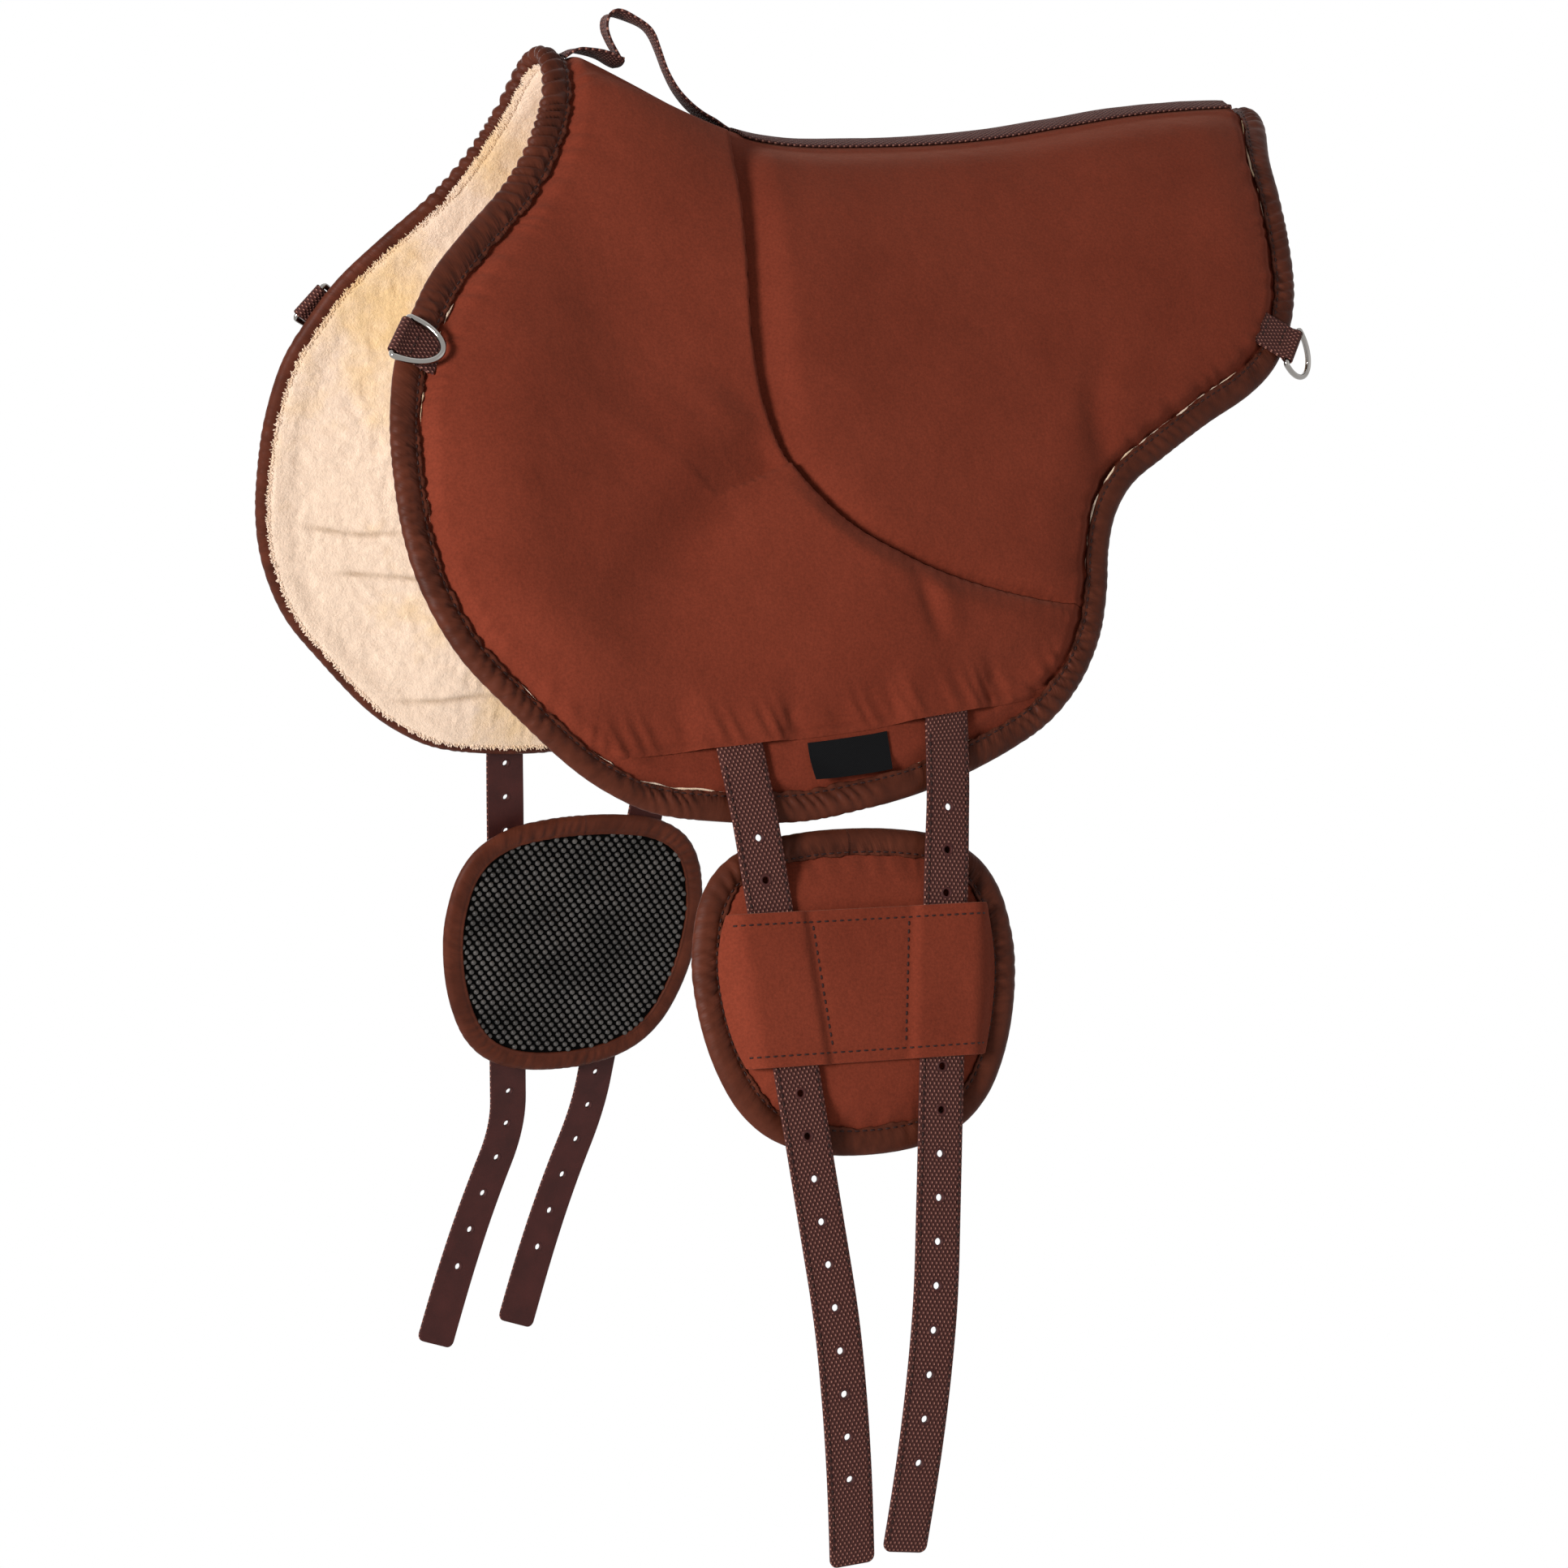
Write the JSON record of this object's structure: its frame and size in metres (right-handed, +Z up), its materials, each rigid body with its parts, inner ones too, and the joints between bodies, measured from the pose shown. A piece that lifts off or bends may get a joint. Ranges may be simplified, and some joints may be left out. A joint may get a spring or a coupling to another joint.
{
  "type": "bareback riding pad",
  "caption": "Padded bareback riding pad with fleece lining, grab handle, D-rings, punched girth straps and sliding girth pads, draped as on a horse",
  "frame": {"origin": "underside of the pad on the spine line, at the dip of the seat", "axes": "+X towards the horse's tail, -Y the near (left) side, +Z up"},
  "size_m": [0.7138, 0.6165, 0.9904],
  "materials": {
    "suede": "matt synthetic suede",
    "binding": "satin binding tape",
    "webbing": "woven webbing",
    "backing": "smooth coated backing",
    "fleece": "sheared fleece",
    "foam": "soft foam",
    "mesh": "raised knobbly mesh",
    "nickel": "polished nickel",
    "label": "woven label, bare"
  },
  "bodies": {
    "pad": {"blank_label": "label", "far_edge_binding": "binding", "far_fleece_lining": "fleece", "far_foam_core": "foam", "far_front_panel": "suede", "far_front_ring_tab": "webbing", "far_front_strap_sewn_end": "webbing", "far_girth_margin": "suede", "far_rear_ring_tab": "webbing", "far_rear_strap_sewn_end": "webbing", "far_seat_panel": "suede", "grab_handle": "webbing", "near_edge_binding": "binding", "near_fleece_lining": "fleece", "near_foam_core": "foam", "near_front_panel": "suede", "near_front_ring_tab": "webbing", "near_front_strap_sewn_end": "webbing", "near_girth_margin": "suede", "near_rear_ring_tab": "webbing", "near_rear_strap_sewn_end": "webbing", "near_seat_panel": "suede", "spine_webbing": "webbing"},
    "near_straps": {"near_front_strap": "webbing", "near_rear_strap": "webbing", "near_front_strap_backing": "backing", "near_rear_strap_backing": "backing"},
    "near_girth_pad": {"near_girth_pad_cover": "suede", "near_girth_pad_foam": "foam", "near_girth_pad_mesh": "mesh", "near_girth_pad_binding": "binding", "near_girth_pad_band": "suede"},
    "near_front_d_ring": {"near_front_ring": "nickel"},
    "near_rear_d_ring": {"near_rear_ring": "nickel"},
    "far_straps": {"far_front_strap": "webbing", "far_rear_strap": "webbing", "far_front_strap_backing": "backing", "far_rear_strap_backing": "backing"},
    "far_girth_pad": {"far_girth_pad_cover": "suede", "far_girth_pad_foam": "foam", "far_girth_pad_mesh": "mesh", "far_girth_pad_binding": "binding", "far_girth_pad_band": "suede"},
    "far_front_d_ring": {"far_front_ring": "nickel"},
    "far_rear_d_ring": {"far_rear_ring": "nickel"}
  },
  "joints": [
    {"name": "near_strap_hinge", "type": "hinge", "parent": "pad", "child": "near_straps", "pos_m": [-0.0575, -0.21539, -0.37733], "axis": [-0.9927, 0.0624, -0.1033], "range_deg": [0, 100]},
    {"name": "near_girth_pad_slide", "type": "slide", "parent": "near_straps", "child": "near_girth_pad", "axis": [0.0235, 0.2059, 0.9783], "range_m": [-0.04, 0.006]},
    {"name": "near_front_ring_hinge", "type": "hinge", "parent": "pad", "child": "near_front_d_ring", "pos_m": [-0.32001, -0.12297, -0.12282], "axis": [-0.5166, -0.3314, -0.7895], "range_deg": [0, 165]},
    {"name": "near_rear_ring_hinge", "type": "hinge", "parent": "pad", "child": "near_rear_d_ring", "pos_m": [0.32461, -0.14053, -0.1278], "axis": [-0.5379, -0.3027, -0.7868], "range_deg": [-12, 185]},
    {"name": "far_strap_hinge", "type": "hinge", "parent": "pad", "child": "far_straps", "pos_m": [-0.0575, 0.21539, -0.37733], "axis": [0.9927, 0.0624, 0.1033], "range_deg": [0, 100]},
    {"name": "far_girth_pad_slide", "type": "slide", "parent": "far_straps", "child": "far_girth_pad", "axis": [0.0235, -0.2059, 0.9783], "range_m": [-0.01, 0.04]},
    {"name": "far_front_ring_hinge", "type": "hinge", "parent": "pad", "child": "far_front_d_ring", "pos_m": [-0.30529, 0.11249, -0.09748], "axis": [0.6016, -0.319, 0.7323], "range_deg": [0, 165]},
    {"name": "far_rear_ring_hinge", "type": "hinge", "parent": "pad", "child": "far_rear_d_ring", "pos_m": [0.32461, 0.14053, -0.1278], "axis": [0.5379, -0.3027, 0.7868], "range_deg": [-12, 185]}
  ]
}
